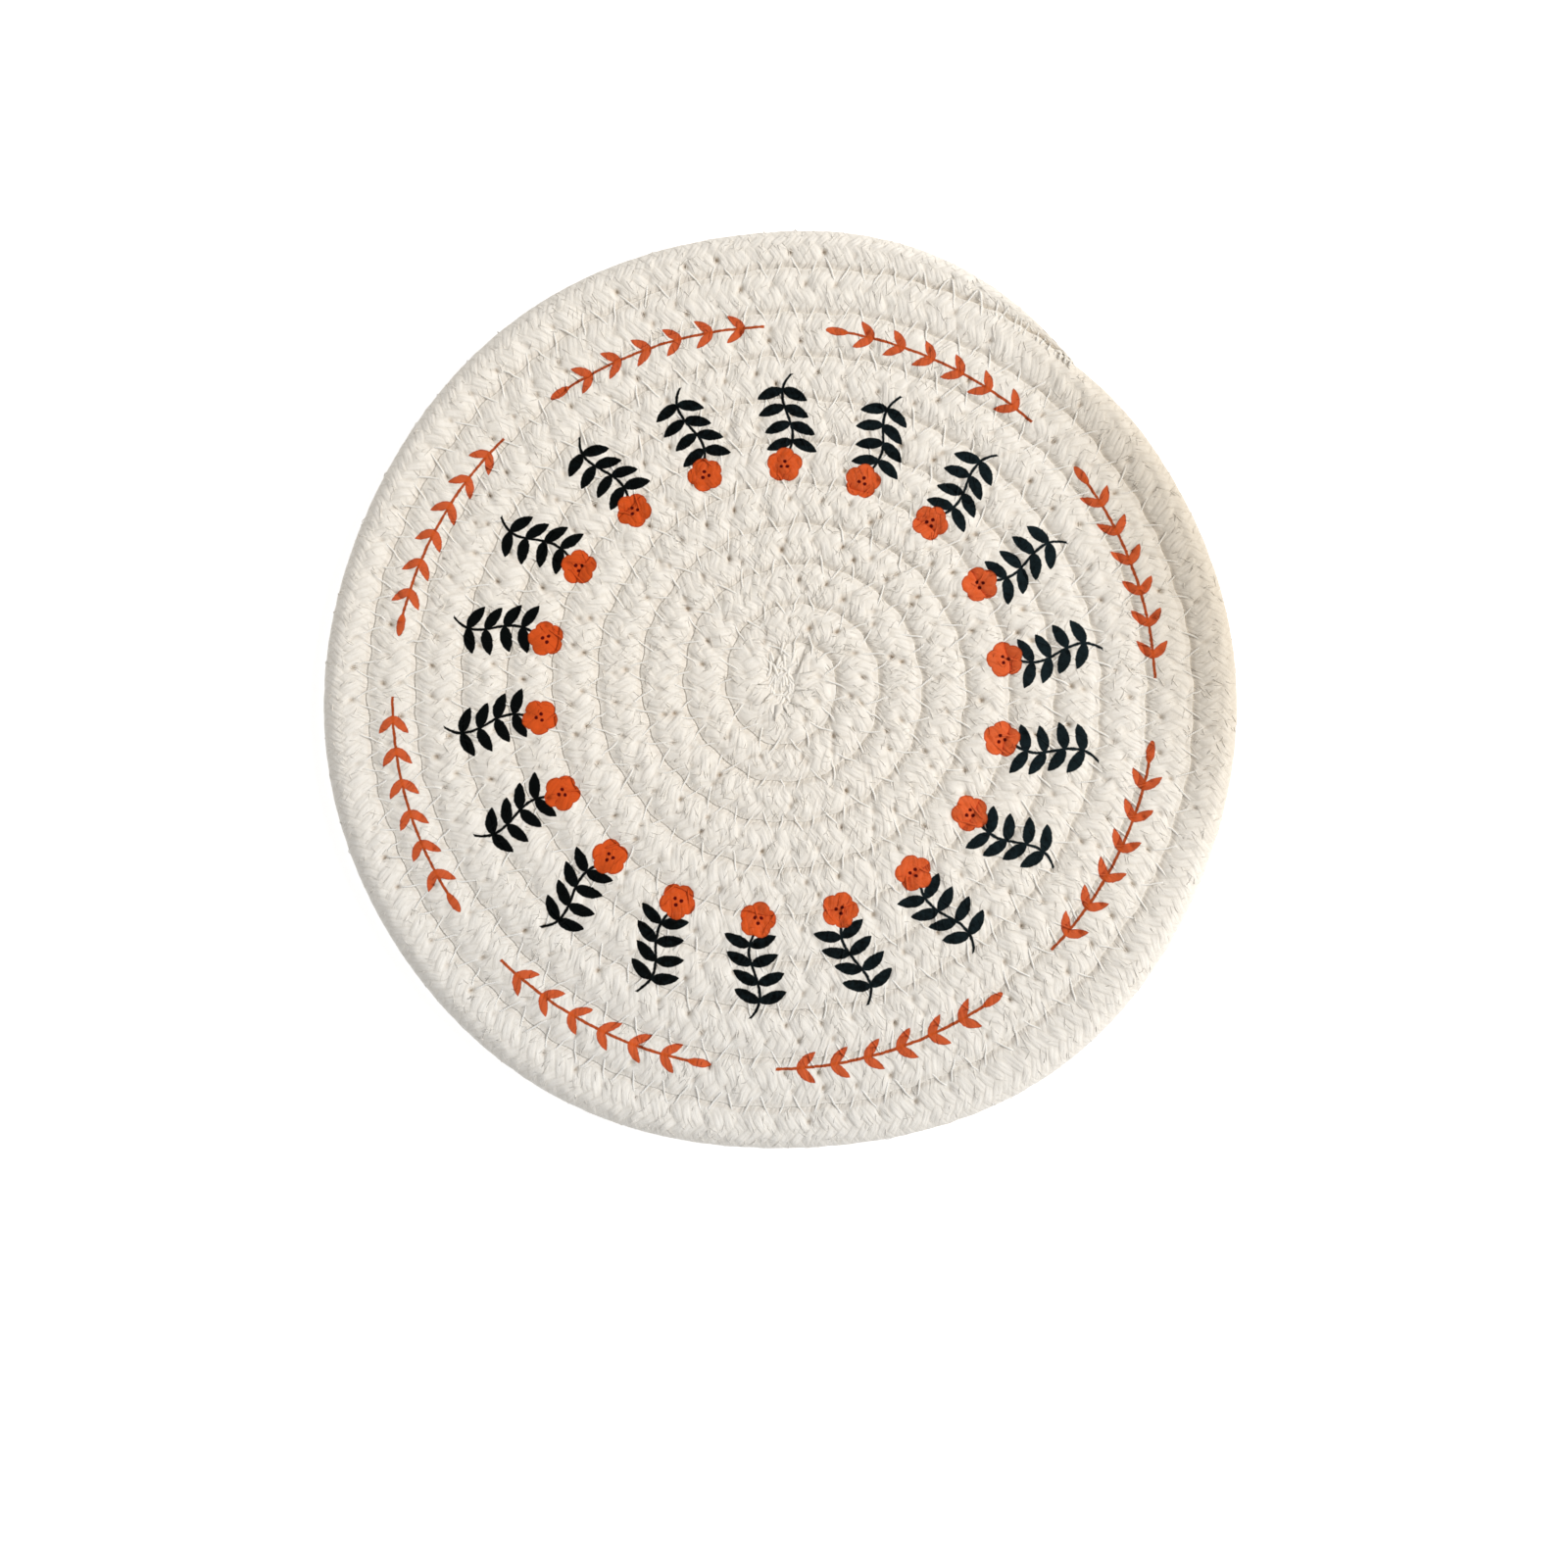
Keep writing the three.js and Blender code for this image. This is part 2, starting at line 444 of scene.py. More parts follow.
def rope_surface(turn, along):
    """Points of the rope for each place along it and round it, the place of each on the
    braid, which wanders a little, how much painted tan shade it takes where sewing hollows it
    and beside the seams, and whether it lies on an edge pressed against the next turn. The
    section is carried along the coil, and each point is moved along its normal by the braid's
    and sewing's relief."""
    middle, half, height = rope_frame(turn)
    half_width = np.linalg.norm(half, axis=1)[:, None]
    x, z = section_x[None, :-1], section_z[None, :-1]
    rim_side = (1 - smooth((turn - 1) / rim_side_fade))[:, None] * (x > 0)
    x = x + (rim_x[None, :-1] - x) * rim_side
    flat = middle[:, None, :] + half[:, None, :] * x[..., None]
    on_face = smooth((np.abs(z) - face_from) / face_over)
    from_side = (1 - np.abs(x)) * half_width
    rise = np.where(x < 0, edge_rise_inside, edge_rise_outside) * (1 - rim_side)
    rise = rise * bell(from_side / edge_rounding) * on_face * np.sign(z)
    points = raised(flat, mat_thickness / 2 + (mat_thickness / 2 * z + rise) * height[:, None])
    normal = surface_steps(points)[2]

    along, around = along[:, None], girth_place[None, :]
    wander = np.interp(turn, lay_wander_turns, lay_wander)[:, None]
    braid_along = along + wander * ripple(along, around, lay_waves_along, 1)
    braid_round = around + wander * ripple(along, around, lay_waves_round, 2)
    relief = braid_relief(braid_along[:, :-1], braid_round[:, :-1]) - strand_height
    lumps = ripple(along, around[:, :-1], lump_waves, 4, lump_sines) - lump_sink
    relief = relief + lump_height * lumps

    free = on_face * smooth(from_side / seam_hold)
    free = free + (1 - smoother_rim * (1 - on_face) - free) * rim_side
    whole = smooth((half_width - relief_from) / relief_over)
    sewn = both_seams_relief(turn, x, half_width) * on_face * whole
    points = points + normal * (relief * free * whole - sewn)[..., None]
    points[..., 2] = np.maximum(points[..., 2], 0)
    # Painted shade: a tan band beside each seam, stronger on the rope's inner side, added to the
    # share from where the sewing draws the rope in
    shade = bell((from_side - seam_shade_from) / seam_shade_spread)
    painted_shade = sewn / hole_depth + np.where(x < 0, *seam_shades) * shade
    braid = np.stack([braid_along, braid_round], axis=-1)
    return points, braid, painted_shade * (1 - rim_side), pressed_edges & (rim_side == 0)


# The map for baking: margins and shares of a row along and round a tube, and the places of
# the caps and their radius, at most and as a share of a tube's height on the map
row_margin, row_share = 0.02, 0.94
side_margin, side_share = 0.08, 0.84
cap_at, cap_apart = 0.98, 0.2
cap_radius, cap_share = 0.01, 0.1


def folded_map(tubes, rings, sides, rows, columns=1):
    """A second map for baking: each tube is cut along into rows, and all rows are stacked
    in columns in the unit square with a margin between them. Caps lie small beside them."""
    ring = np.arange(rings - 1)
    row = ring * rows // (rings - 1)
    begins = np.searchsorted(row, np.arange(rows + 1))
    near = (ring - begins[row]) / (begins[row + 1] - begins[row])
    far = (ring + 1 - begins[row]) / (begins[row + 1] - begins[row])
    side = np.arange(sides)
    stack = -(-tubes // columns)
    column, place = np.arange(tubes) // stack, np.arange(tubes) % stack
    whole = np.zeros((tubes, rings - 1, sides, 4, 2))
    share = np.stack([near, far, far, near], axis=-1)[None, :, None, :]
    whole[..., 0] = (column[:, None, None, None] + row_margin + row_share * share) / columns
    share = np.stack([side, side, side + 1, side + 1], axis=-1) / sides
    number = place[:, None, None, None] * rows + row[None, :, None, None]
    whole[..., 1] = (number + side_margin + side_share * share[None, None]) / (stack * rows)
    tube_height = columns / stack
    middle = np.stack([column + cap_at, (place + 0.5) * tube_height], axis=-1)
    apart = np.array([0, cap_apart * tube_height])
    cap = level_unit(2 * np.pi * side / sides) * min(cap_radius, cap_share * tube_height)
    caps = np.stack([middle - apart, middle + apart], axis=1)[:, :, None] + cap
    return np.concatenate([whole.ravel(), caps.ravel() / columns])


def tube_mesh(name, points, places, rows, columns=1, painted_shade=None, edges=None):
    """Tubes from rings of points, closed round and capped at both ends. points runs over
    tubes, rings and sides. places gives each corner its place along and round the tube.
    A share of painted shade for each point, if given, is kept on it as an attribute, and
    lengthwise edges between points that are in edges are shaded sharp."""
    tubes, rings, sides = points.shape[:3]
    index = np.arange(tubes * rings * sides).reshape(tubes, rings, sides)
    following = np.roll(index, -1, axis=2)
    quads = [index[:, :-1], index[:, 1:], following[:, 1:], following[:, :-1]]
    quads = np.stack(quads, axis=-1).reshape(-1, 4)
    caps = np.stack([index[:, 0], index[:, -1, ::-1]], axis=1).reshape(-1, sides)
    corners = np.concatenate([quads.ravel(), caps.ravel()])
    cap_starts = quads.size + np.arange(len(caps)) * sides
    starts = np.concatenate([np.arange(0, quads.size, 4), cap_starts])

    mesh = bpy.data.meshes.new(name)
    mesh.vertices.add(points.size // 3)
    mesh.vertices.foreach_set("co", points.ravel().astype(np.float32))
    mesh.loops.add(len(corners))
    mesh.loops.foreach_set("vertex_index", corners.astype(np.int32))
    mesh.polygons.add(len(starts))
    mesh.polygons.foreach_set("loop_start", starts.astype(np.int32))
    mesh.update(calc_edges=True)
    mesh.polygons.foreach_set("use_smooth", np.arange(len(starts)) < len(quads))

    near, far = places[:, :-1], places[:, 1:]
    faces = np.stack([near[:, :, :-1], far[:, :, :-1], far[:, :, 1:], near[:, :, 1:]], axis=3)
    ends = np.stack([places[:, 0, :-1], places[:, -1, :-1][:, ::-1]], axis=1)
    own_map = np.concatenate([faces.ravel(), ends.ravel()])
    bake_map = folded_map(tubes, rings, sides, rows, columns)
    for map_name, values in (("yarn", own_map), ("OFBake", bake_map)):
        layer = mesh.uv_layers.new(name=map_name)
        layer.data.foreach_set("uv", values.astype(np.float32))
    if painted_shade is not None:
        depth = mesh.attributes.new("painted_shade", "FLOAT", "POINT")
        depth.data.foreach_set("value", painted_shade.ravel().astype(np.float32))
    if edges is not None:
        ends = np.empty(2 * len(mesh.edges), dtype=np.int32)
        mesh.edges.foreach_get("vertices", ends)
        near, far = ends.reshape(-1, 2).T
        sharp = edges.ravel()[near] & edges.ravel()[far] & (near % sides == far % sides)
        mesh.edges.foreach_set("use_edge_sharp", sharp)
    mesh.validate()
    return mesh


def add_piece(name, mesh, material):
    """Places a finished piece on the mat's one body."""
    piece = add_object(name, mesh)
    piece.data.materials.append(material)
    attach(piece, "root")
    return piece


class Amount:
    """A number that a material works out at each point. Arithmetic on it adds Math nodes."""

    def __init__(self, socket):
        self.socket = socket

    def calc(self, operation, *others):
        """What a Math node makes of this and the others, which are amounts or numbers."""
        tree = self.socket.id_data
        node = tree.nodes.new("ShaderNodeMath")
        node.operation = operation
        for socket, value in zip(node.inputs, (self, *others)):
            if isinstance(value, Amount):
                tree.links.new(value.socket, socket)
            else:
                socket.default_value = value
        return Amount(node.outputs[0])

    __add__ = partialmethod(calc, "ADD")
    __sub__ = partialmethod(calc, "SUBTRACT")
    __mul__ = partialmethod(calc, "MULTIPLY")
    __truediv__ = partialmethod(calc, "DIVIDE")
    __pow__ = partialmethod(calc, "POWER")
    floor = partialmethod(calc, "FLOOR")
    round = partialmethod(calc, "ROUND")
    wrap = partialmethod(calc, "FLOORED_MODULO")
    size = partialmethod(calc, "ABSOLUTE")
    sine = partialmethod(calc, "SINE")
    cosine = partialmethod(calc, "COSINE")
    toward = partialmethod(calc, "ARCTAN2")
    below = partialmethod(calc, "LESS_THAN")
    least = partialmethod(calc, "MINIMUM")
    most = partialmethod(calc, "MAXIMUM")

    def __rsub__(self, other):
        """A number less this."""
        return self * -1 + other

    def within(self, low, high):
        """This, held between two limits."""
        return self.most(low).least(high)

    def choose(self, one, other):
        """one where this is 1, other where it is 0."""
        return (one - other) * self + other


def start_material(name, roughness):
    """A new material for yarn, dull with a faint soft sheen, its tree and its Principled
    finish, and the amounts of the place along and round a tube, from the tube's own map."""
    material = bpy.data.materials.new(name)
    material.use_nodes = True
    tree = material.node_tree
    finish = tree.nodes["Principled BSDF"]
    sheen = {"Sheen Weight": 0.02, "Sheen Roughness": 0.6}
    set_inputs(finish, {"Roughness": roughness, "Specular IOR Level": 0.04, **sheen})
    own_map = tree.nodes.new("ShaderNodeUVMap")
    own_map.uv_map = "yarn"
    parts = tree.nodes.new("ShaderNodeSeparateXYZ")
    tree.links.new(own_map.outputs[0], parts.inputs[0])
    return material, tree, finish, Amount(parts.outputs[0]), Amount(parts.outputs[1])


def noise(tree, x, y, z, detail=2.0, roughness=0.5):
    """Smooth noise, 0 to 1, at a place given by three amounts or numbers. Detail is how many
    finer noises are added to it, and roughness how strong they are."""
    place = tree.nodes.new("ShaderNodeCombineXYZ")
    for socket, value in zip(place.inputs, (x, y, z)):
        if isinstance(value, Amount):
            tree.links.new(value.socket, socket)
        else:
            socket.default_value = value
    node = tree.nodes.new("ShaderNodeTexNoise")
    set_inputs(node, {"Scale": 1.0, "Detail": detail, "Roughness": roughness})
    tree.links.new(place.outputs[0], node.inputs["Vector"])
    return Amount(node.outputs[0])


def blend(tree, share, base, top, mode="MIX"):
    """Colour from base to top by share; each is a colour or another blend. In the mode
    MULTIPLY, top tints the base."""
    node = tree.nodes.new("ShaderNodeMix")
    node.data_type = "RGBA"
    node.blend_type = mode
    tree.links.new(share.socket, node.inputs["Factor"])
    for socket, value in zip(node.inputs[6:8], (base, top)):
        if isinstance(value, bpy.types.NodeSocket):
            tree.links.new(value, socket)
        else:
            socket.default_value = (*value, 1)
    return node.outputs[2]


def add_bump(tree, finish, height, distance):
    """Fine relief of the given height, in metres for a height of 1."""
    node = tree.nodes.new("ShaderNodeBump")
    set_inputs(node, {"Strength": 1.0, "Distance": distance})
    tree.links.new(height.socket, node.inputs["Height"])
    tree.links.new(node.outputs[0], finish.inputs["Normal"])


# The print, in millimetres from its own middle: a ring of flowers, each on a leafy stem that
# points outwards, and round it a ring of trailing sprigs. It was laid on askew, a little
# stretched and growing towards the lower edge of the mat.
print_middle = (-1.81, 0.155)
print_growth = (-0.00015, 0.000395)
print_stretch = (0.0136, 0.0048)
flower_ring_radius = 45.28
flower_first, flower_spacing = 87.0, 20
petals, petal_reach, petal_notch, petal_squareness = 5, 3.57, 0.62, 0.7
petal_first, petal_stray = 10, 30
petal_luck, chance_size = 80, 437.585
petal_rim, petal_rim_strength = 0.35, 0.75
stamen_count, stamen_radius, stamen_distance = 3, 0.36, 0.7
stem_from, stem_end = 2.6, 18.9
stem_bend_from, stem_bend = 15.8, 0.06
stem_half_width, stem_slope = 0.29, 0.93
stem_sway, stem_sway_length, stem_sway_from = 1.28, 18.2, 5.8

# Joints are the first pair of leaves, the pitch and the number of pairs. A leaf's shape is its
# length, half width, bow and tip.
leaf_joints = (5.15, 3.5, 4)
leaf_slant = np.radians(24.5)
leaf_swell = 0.6
leaf_shape = (5.4, 1.17, 0.14, 0.78)

sprig_ring = (-0.29, 0.2)
sprig_ring_radius = 73.77
sprig_first, sprig_spacing = 18.9, 45
sprig_length = 45.7
sprig_stem_half_width, sprig_stem_from = 0.29, 3
sprig_tip_length = 4.6
sprig_tip_shape = (sprig_tip_length, 0.85, 0.0, 0.6)
sprig_leaf_joints = (9.4, 6.4, 6)
sprig_leaf_base = 0.5
sprig_leaf_inside = ((4.9, 0.9, 0.12, 0.82), np.radians(51))
sprig_leaf_outside = ((4.6, 0.9, 0.12, 0.82), np.radians(43))
sprig_rim = 0.3

# Ink colours. The lighter orange and green are painted highlights that the inks take towards the
# right
orange_ink = (0.62, 0.085, 0.014)
painted_orange_highlight = (0.72, 0.13, 0.04)
orange_rim = (0.34, 0.045, 0.008)
maroon_ink = (0.09, 0.002, 0.002)
sprig_ink = (0.59, 0.095, 0.02)
sprig_edge = (0.38, 0.05, 0.01)
sprig_stem_ink = (0.42, 0.075, 0.018)
green_ink = (0.001, 0.002, 0.002)
painted_green_highlight = (0.007, 0.014, 0.017)
sprig_cover = 0.98

# How far the print's edges are soft, run along the yarns and bend, over lengths whose inverse
# is given, and how far the inks lighten from left to right, a painted highlight, and change from
# patch to patch. Each noise has its layer, its detail and its roughness.
ink_edge = 0.16
run_scale, run_reach, run_noise = 1.3, 2.2, (0.0, 3.0, 0.6)
bend_scale, bend_reach, bend_noises = 0.3, 0.3, ((11.0, 1.0, 0.5), (17.0, 1.0, 0.5))
patch_scale, patch_noise = 0.9, (5.0, 2.0, 0.6)
highlight_middle, highlight_width, highlight_patchiness = 0.3, 90, 2
rim_patchiness = 0.3
edge_patchiness, edge_middle = 2.4, 0.8
printed_above, printed_over = 4.2, 0.3

# The cotton is darker and warmer towards the right and a little darker and cooler towards the
# bottom: each tint's colour, its way, how far that way it begins, and the distance over which it
# comes on
tints = (
    ((0.77, 0.73, 0.67), (0.94, 0.34), 64, 22),
    ((0.935, 0.955, 0.985), (-0.34, -0.94), 10, 70),
)


def distance(x, y):
    """Length of a vector from its two parts."""
    return (x * x + y * y) ** 0.5


def degrees_round(x, y):
    """Direction of a vector, in degrees counterclockwise from x."""
    return y.toward(x) * (180 / np.pi)


def chance(number):
    """A fixed random share for each whole number: the fraction of a large sine."""
    return ((number * luck_rate).sine() * chance_size).wrap(1)


def repeat_round(x, y, first, spacing):
    """Number of the nearest repeat round a ring, distance from the ring's middle, and how
    many degrees past that repeat."""
    angle = degrees_round(x, y) - first
    number = (angle / spacing).round()
    return number.wrap(360 / spacing), distance(x, y), angle - number * spacing


def leaf(along, aside, length, half_width, bow, tip):
    """How far inside a leaf: its half width goes by powers of the shares of its length
    behind and ahead, the second small for a blunt tip, about a line that bows one way."""
    share = (along / length).within(0, 1)
    past = (along - share * length).size()
    widest = leaf_swell / (leaf_swell + tip)
    most = widest**leaf_swell * (1 - widest) ** tip
    outline = share**leaf_swell * (1 - share) ** tip * (half_width / most)
    bowed = (1 - share) * share * (4 * bow)
    return outline - (aside - bowed).size() - past


def nearest_joint(along, aside, joints, slant):
    """Place on a stem of the nearest of its evenly spaced leaf joints."""
    first, pitch, pairs = joints
    number = ((along + aside * np.tan(slant) - first) / pitch).round()
    return number.within(0, pairs - 1) * pitch + first


def side_leaf(past, aside, slant, base, shape):
    """How far inside a leaf, from the place past its joint. It leans back towards the
    stem's beginning, at the slant from square to it."""
    out = aside * np.cos(slant) - past * np.sin(slant)
    return leaf(out + base, past * np.cos(slant) + aside * np.sin(slant), *shape)


def flower_inks(x, y):
    """How far inside the flowers, their stamens and their stems and leaves."""
    number, radius, past = repeat_round(x, y, flower_first, flower_spacing)
    past = past * (np.pi / 180)
    out = radius * past.cosine() - flower_ring_radius
    aside = radius * past.sine() * -1

    angle = degrees_round(out, aside)
    from_middle = distance(out, aside)
    petal = angle + petal_first + (chance(number + petal_luck) - 0.5) * petal_stray
    petal = (petal * (petals / 2 * np.pi / 180)).cosine().size() ** petal_squareness
    flower = petal * petal_notch + (petal_reach - petal_notch) - from_middle
    apart = 360 / stamen_count
    past = ((angle + apart / 2).wrap(apart) - apart / 2) * (np.pi / 180)
    stamen_along = from_middle * past.cosine() - stamen_distance
    stamens = stamen_radius - distance(stamen_along, from_middle * past.sine())

    def from_stem(place):
        """Distance aside from where the swaying stem is at this place along it. Past its
        last leaves it bends away."""
        sway = (place - stem_sway_from) * (2 * np.pi / stem_sway_length)
        bend = (place - stem_bend_from).most(0) ** 2 * stem_bend
        return aside - sway.cosine() * stem_sway - bend

    stem = stem_half_width - from_stem(out).size() * stem_slope
    stem = stem.least(out - stem_from).least(stem_end - out)
    joint = nearest_joint(out, from_stem(out).size(), leaf_joints, leaf_slant)
    leaves = side_leaf(out - joint, from_stem(joint).size(), leaf_slant, 0.0, leaf_shape)
    return flower, stamens, stem.most(leaves)


def sprig_inks(x, y):
    """How far inside the trailing sprigs and their stems."""
    x, y = x - sprig_ring[0], y - sprig_ring[1]
    _, radius, past = repeat_round(x, y, sprig_first, sprig_spacing)
    aside = radius - sprig_ring_radius
    along = sprig_length / 2 - past * (np.pi / 180 * sprig_ring_radius)
    leaves = leaf(sprig_tip_length - along, aside, *sprig_tip_shape)
    stem = sprig_stem_half_width - aside.size()
    stem = stem.least(along - sprig_stem_from).least(sprig_length - along)
    for side, (shape, slant) in ((aside, sprig_leaf_outside), (aside * -1, sprig_leaf_inside)):
        joint = nearest_joint(along, side.most(0), sprig_leaf_joints, slant)
        leaves = leaves.most(side_leaf(along - joint, side, slant, sprig_leaf_base, shape))
    return leaves, stem


def printed(tree, colour):
    """The yarn's colour, tinted, with the print over it on the mat's upper face. The yarn
    lets the ink run and bends its lines a little."""
    at = tree.nodes.new("ShaderNodeSeparateXYZ")
    place = tree.nodes.new("ShaderNodeTexCoord").outputs["Object"]
    tree.links.new(place, at.inputs[0])
    x, y, z = (Amount(socket) * (1 / mm) for socket in at.outputs)
    for tint, way, begin, over in tints:
        share = (x * way[0] + y * way[1] - begin) / over
        colour = blend(tree, share.within(0, 1), colour, tint, "MULTIPLY")

    def patches(scale, layer, detail, roughness):
        """Noise of this fineness over the mat, from -0.5 to 0.5."""
        return noise(tree, x * scale, y * scale, layer, detail, roughness) - 0.5

    right, up = x - print_middle[0], y - print_middle[1]
    growth = 1 - (right * print_growth[0] + up * print_growth[1])
    right, up = right / growth, up / growth
    print_x = right * (1 - print_stretch[0]) - up * print_stretch[1]
    print_y = up * (1 + print_stretch[0]) - right * print_stretch[1]
    run = patches(run_scale, *run_noise) * run_reach
    patchy = patches(patch_scale, *patch_noise)
    bent_x = print_x + patches(bend_scale, *bend_noises[0]) * bend_reach
    bent_y = print_y + patches(bend_scale, *bend_noises[1]) * bend_reach
    flower, stamens, leaves = flower_inks(bent_x, bent_y)
    sprigs, sprig_stems = sprig_inks(bent_x, bent_y)
    on_top = ((z - printed_above) / printed_over).within(0, 1)

    def inked(inside):
        """Share of ink, from how far inside a shape."""
        return (inside / ink_edge + 0.5 + run).within(0, 1) * on_top

    # Painted highlight: the green and orange inks lighten towards the right, and vary from patch
    # to patch
    ink_highlight = (x / highlight_width + highlight_middle + patchy * highlight_patchiness).within(0, 1)
    green = blend(tree, ink_highlight, green_ink, painted_green_highlight)
    rim = 1 - (flower / petal_rim + run * rim_patchiness).within(0, 1)
    orange = blend(tree, ink_highlight, orange_ink, painted_orange_highlight)
    orange = blend(tree, rim * petal_rim_strength, orange, orange_rim)
    edge = (patchy * edge_patchiness + edge_middle - sprigs / sprig_rim).within(0, 1)
    sprig = blend(tree, edge, sprig_ink, sprig_edge)
    insides = (leaves, flower, stamens, sprig_stems)
    for inside, ink in zip(insides, (green, orange, maroon_ink, sprig_stem_ink)):
        colour = blend(tree, inked(inside), colour, ink)
    return blend(tree, inked(sprigs) * sprig_cover, colour, sprig)


# The cotton's finish: each yarn rounded, hairy along its length, cream and a little uneven,
# with painted tan shade in its crevices, where the sewing draws it down and beside the seams.
# Fibres and slubs are noise with this many grains to a strand, across and along it.
cream = (0.90, 0.86, 0.795)
grey_cream = (0.85, 0.805, 0.735)
slub_contrast, slub_grey = 2.2, 0.6
# Painted shade: the tan colour in the crevices between strands and yarns and in the fibres' low
# places, and how strong each share of it is
painted_crevice_tan = (0.68, 0.61, 0.51)
strand_crevice_shade, yarn_crevice_shade, fibre_crevice_shade, most_crevice_shade = 0.24, 0.08, 0.8, 0.6
# Painted shade: its tan colour where the sewing draws the rope in and beside the seams, and where
# it begins and how strong it gets
painted_shade_tan = (0.45, 0.35, 0.25)
painted_shade_from, painted_shade_most = 0.2, 0.8
fibre_grains, fibre_noise = (3.4, 1.6), (0.0, 4.0, 0.7)
slub_grains, slub_noise = (1.6, 0.8), (7.0, 2.0, 0.5)
bump_height, strand_bump, yarn_bump, slub_bump = 0.17 * mm, 0.35, 0.3, 0.6
strand_squareness, rise_squareness = 0.7, 0.6
other_strands = 500

cotton, tree, finish, along, around = start_material("cotton", 0.95)
one = along * (strands / braid_lay) + around * (strands / rope_girth)
other = along * (strands / braid_lay) - around * (strands / rope_girth)
over = (other - one.floor() + 1).wrap(crossings)
under = (one - other.floor() - 2).wrap(crossings)
on_top = over.below(crossings / 2)
strand = on_top.choose(one, other + other_strands)
lengthwise = on_top.choose(other, one)
across = strand.wrap(1)
float_place = on_top.choose(over, under) * (2 / crossings)
bulge = (across * np.pi).sine().size() ** strand_squareness
yarn = (across * (np.pi * yarns_in_strand)).sine().size()
float_rise = (float_place * np.pi).sine().size() ** rise_squareness
fibres = noise(tree, strand * fibre_grains[0], lengthwise * fibre_grains[1], *fibre_noise)
slubs = noise(tree, strand * slub_grains[0], lengthwise * slub_grains[1], *slub_noise)
height = (bulge * strand_bump + yarn * yarn_bump) * float_rise + fibres + slubs * slub_bump
add_bump(tree, finish, height, bump_height)
# Painted shade: darker tan in the crevices between strands and yarns and where the fibre noise is
# low
crevice_shade = (1 - bulge * float_rise) * strand_crevice_shade + (1 - yarn) * yarn_crevice_shade
crevice_shade = (crevice_shade + (0.5 - fibres) * fibre_crevice_shade).within(0, most_crevice_shade)
# Painted shade: tan where the sewing draws the rope in and beside the seams, by the share kept on
# the rope's points
depth = tree.nodes.new("ShaderNodeAttribute")
depth.attribute_name = "painted_shade"
painted_shade_share = (Amount(depth.outputs["Fac"]) - painted_shade_from).within(0, painted_shade_most)
colour = blend(tree, (slubs * slub_contrast - slub_grey).within(0, 1), grey_cream, cream)
colour = blend(tree, crevice_shade, colour, painted_crevice_tan)
colour = blend(tree, painted_shade_share, colour, painted_shade_tan)
tree.links.new(printed(tree, colour), finish.inputs["Base Color"])

# Each length's name, its first and last turn, and its rings
rope_lengths = (
    ("rope_rim", 0.0, 1.52, 1940),
    ("rope_second", 1.52, 3.3, 1940),
    ("rope_third", 3.3, 5.96, 1960),
    ("rope_start", 5.96, start_turn, 1800),
)
rope_rows = 30
rope_samples = 60001
rope_points = {}
rope_turns = np.linspace(0, start_turn, rope_samples)
rope_steps = np.linalg.norm(np.diff(rope_frame(rope_turns)[0], axis=0), axis=1)
rope_along = running_total(rope_steps)
for name, begin, end, steps in rope_lengths:
    ends = np.interp([begin, end], rope_turns, rope_along)
    along = np.linspace(*ends, steps + 1)
    turn = np.interp(along, rope_along, rope_turns)
    points, braid, painted_shade, edges = rope_surface(turn, along)
    rope_points[name] = points
    mesh = tube_mesh(name, points[None], braid[None], rope_rows, 1, painted_shade, edges)
    piece = add_piece(name, mesh, cotton)
    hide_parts("rope_coil")

# The nap: short cotton fibres that have worked loose and lie along the yarns, a little off
# the rope's upper face and over its rim
nap_fibres = 7200
nap_radius, nap_taper = 0.1 * mm, (0.6, 1, 0.6)
nap_length = (0.9 * mm, 2.6 * mm)
nap_slant_spread = 0.4
nap_lift, nap_lift_shares = 0.1 * mm, (0, 1, 0.3)
nap_least_lift = 0.3
nap_sway = 0.12 * mm
nap_from_ends = 2
nap_sides, nap_columns = 3, 90
loose_cream = (0.91, 0.875, 0.815)
loose_shade = (0.83, 0.785, 0.715)
loose_grain, loose_layer, loose_bump = 900, 1.0, 0.04 * mm
wear_contrast, wear_shade = 2, 0.5

# Points of the rope's section between which the nap grows, and those of the upper face
first_on_face, last_on_face, first_on_rim = 1, 25, -5
top_points = slice(4, 20)


def round_tube(path, radius, sides):
    """Rings round one or more paths: each ring is square to its path, level across."""
    ahead = unit(np.gradient(path, axis=-2))
    across = unit(np.cross(ahead, (0, 0, 1)))
    above = np.cross(across, ahead)
    angle = 2 * np.pi * np.arange(sides)[:, None] / sides
    ring = across[..., None, :] * np.cos(angle) - above[..., None, :] * np.sin(angle)
    radius = np.broadcast_to(radius, path.shape[:-1])[..., None, None]
    return path[..., None, :] + ring * radius


def tube_places(path, radius, sides):
    """Place along each path, and round it, of each corner of its rings."""
    steps = np.linalg.norm(np.diff(path, axis=-2), axis=-1)
    along = np.concatenate([np.zeros_like(steps[..., :1]), np.cumsum(steps, axis=-1)], axis=-1)
    around = 2 * np.pi * radius * np.arange(sides + 1) / sides
    along, around = np.broadcast_arrays(along[..., None], around)
    return np.stack([along, around], axis=-1)


def on_grid(values, ring, side):
    """Values between the points of a grid that closes up sideways, shared out evenly."""
    row, column = np.floor(ring).astype(int), np.floor(side).astype(int)
    ahead, aside = (ring - row)[..., None], (side - column)[..., None]
    here, beside = column % values.shape[1], (column + 1) % values.shape[1]
    near = values[row, here] * (1 - aside) + values[row, beside] * aside
    far = values[row + 1, here] * (1 - aside) + values[row + 1, beside] * aside
    return near * (1 - ahead) + far * ahead


